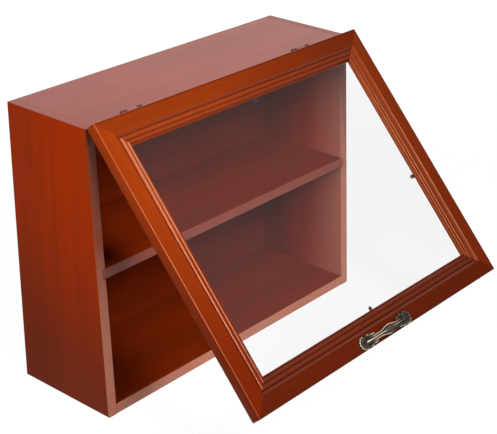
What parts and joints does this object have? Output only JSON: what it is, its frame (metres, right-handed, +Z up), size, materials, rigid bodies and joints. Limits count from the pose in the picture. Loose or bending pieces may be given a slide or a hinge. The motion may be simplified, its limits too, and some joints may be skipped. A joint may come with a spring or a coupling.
{
  "type": "tabletop display case",
  "caption": "Tabletop wooden display case with a fixed shelf and a moulded, glazed door that lifts on two hinges along the top front edge, opened by a cast bronze pull.",
  "frame": {"origin": "centre of the case's underside", "axes": "+X to the viewer's right along the width, +Y to the back, +Z up; the front faces -Y"},
  "size_m": [0.45, 0.3774, 0.3597],
  "materials": {
    "stained_wood": "red-brown stain under satin lacquer",
    "inside_wood": "red-brown stain, darker and less glossy",
    "dowel_wood": "plain pale wood",
    "clear_glass": "clear",
    "antique_bronze": "darkened, with worn high spots",
    "blackened_steel": "black oxide",
    "bright_steel": "plain"
  },
  "bodies": {
    "case": {"left_side": "stained_wood", "right_side": "stained_wood", "top_panel": "stained_wood", "bottom_panel": "stained_wood", "back_panel": "inside_wood", "shelf": "inside_wood", "left_hinge_case_leaf": "antique_bronze", "right_hinge_case_leaf": "antique_bronze", "left_hinge_pin": "antique_bronze", "right_hinge_pin": "antique_bronze", "top_left_front_dowel": "dowel_wood", "top_left_rear_dowel": "dowel_wood", "top_right_front_dowel": "dowel_wood", "top_right_rear_dowel": "dowel_wood", "bottom_left_front_dowel": "dowel_wood", "bottom_left_rear_dowel": "dowel_wood", "bottom_right_front_dowel": "dowel_wood", "bottom_right_rear_dowel": "dowel_wood", "back_brad_1": "bright_steel", "back_brad_2": "bright_steel", "back_brad_3": "bright_steel", "back_brad_4": "bright_steel", "back_brad_5": "bright_steel", "back_brad_6": "bright_steel", "back_brad_7": "bright_steel", "back_brad_8": "bright_steel", "left_hinge_case_screw_1": "antique_bronze", "left_hinge_case_screw_2": "antique_bronze", "right_hinge_case_screw_1": "antique_bronze", "right_hinge_case_screw_2": "antique_bronze"},
    "door": {"door_top_rail": "stained_wood", "door_bottom_rail": "stained_wood", "door_left_stile": "stained_wood", "door_right_stile": "stained_wood", "door_glass": "clear_glass", "mitre_dowel_top_left": "dowel_wood", "mitre_dowel_top_right": "dowel_wood", "mitre_dowel_bottom_left": "dowel_wood", "mitre_dowel_bottom_right": "dowel_wood", "glass_clip_top": "blackened_steel", "glass_clip_bottom": "blackened_steel", "glass_clip_left": "blackened_steel", "glass_clip_right": "blackened_steel", "clip_screw_top": "blackened_steel", "clip_screw_bottom": "blackened_steel", "clip_screw_left": "blackened_steel", "clip_screw_right": "blackened_steel", "left_hinge_door_leaf": "antique_bronze", "right_hinge_door_leaf": "antique_bronze", "left_hinge_door_screw_1": "antique_bronze", "left_hinge_door_screw_2": "antique_bronze", "right_hinge_door_screw_1": "antique_bronze", "right_hinge_door_screw_2": "antique_bronze", "pull_handle": "antique_bronze", "pull_screw_left": "blackened_steel", "pull_screw_right": "blackened_steel"}
  },
  "joints": [
    {"name": "door_hinge", "type": "hinge", "parent": "case", "child": "door", "pos_m": [0, -0.05382, 0.35342], "axis": [-1, 0, 0], "range_deg": [-38.5, 141.5]}
  ]
}
